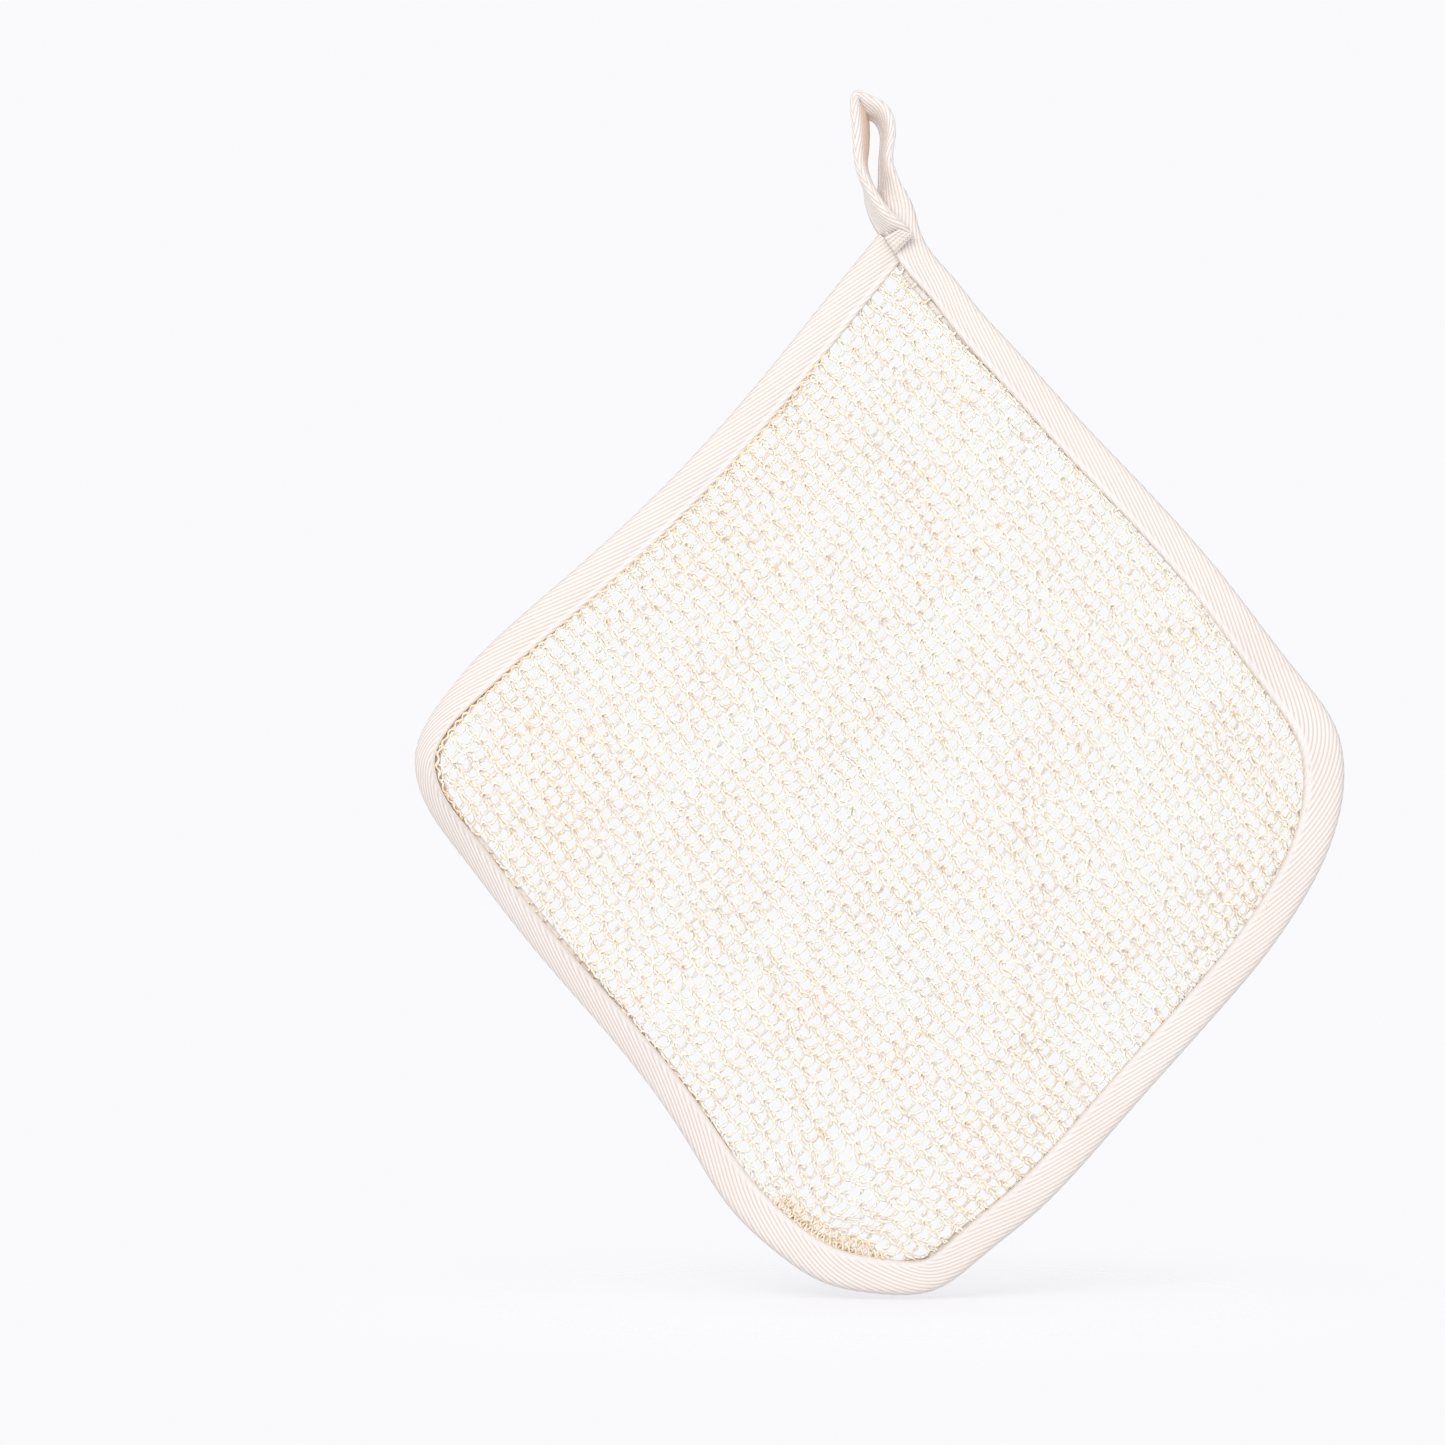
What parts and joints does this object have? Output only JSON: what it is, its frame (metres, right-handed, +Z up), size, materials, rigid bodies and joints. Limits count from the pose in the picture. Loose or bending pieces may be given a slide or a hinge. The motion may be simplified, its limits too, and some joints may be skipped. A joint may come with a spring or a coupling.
{
  "type": "knitted sisal wash cloth",
  "caption": "Square open-knit sisal exfoliating wash cloth, bound with folded cotton twill tape, hung by one corner from a loop of the same tape.",
  "frame": {"origin": "the inside of the top of the hanging loop, midway across its eye, where a hook bears", "axes": "+Z up, from the hanging cloth to the hook; +Y from the front of the cloth to its back; +X to the right seen from the front"},
  "size_m": [0.3221, 0.0113, 0.4173],
  "materials": {
    "sisal_knit": "matt natural leaf fibre, hairy twisted yarn",
    "cotton_tape": "matt undyed cotton herringbone twill",
    "sewing_thread": "matt spun cotton"
  },
  "bodies": {
    "loop": {"hanging_loop": "cotton_tape", "loop_edge_thread": "sewing_thread"},
    "upper_half": {"panel_upper": "sisal_knit", "binding_upper": "cotton_tape", "needle_thread_upper": "sewing_thread", "bobbin_thread_upper": "sewing_thread", "bar_tack_thread": "sewing_thread"},
    "lower_half": {"panel_lower": "sisal_knit", "binding_lower": "cotton_tape", "needle_thread_lower": "sewing_thread", "bobbin_thread_lower": "sewing_thread"}
  },
  "joints": [
    {"name": "loop_swing", "type": "hinge", "parent": "loop", "child": "upper_half", "pos_m": [0.009, 0, -0.044], "axis": [1, 0, 0], "range_deg": [-120, 120]},
    {"name": "cloth_fold", "type": "hinge", "parent": "upper_half", "child": "lower_half", "pos_m": [0.002, 0, -0.229], "axis": [1, 0, 0], "range_deg": [-150, 150]}
  ]
}
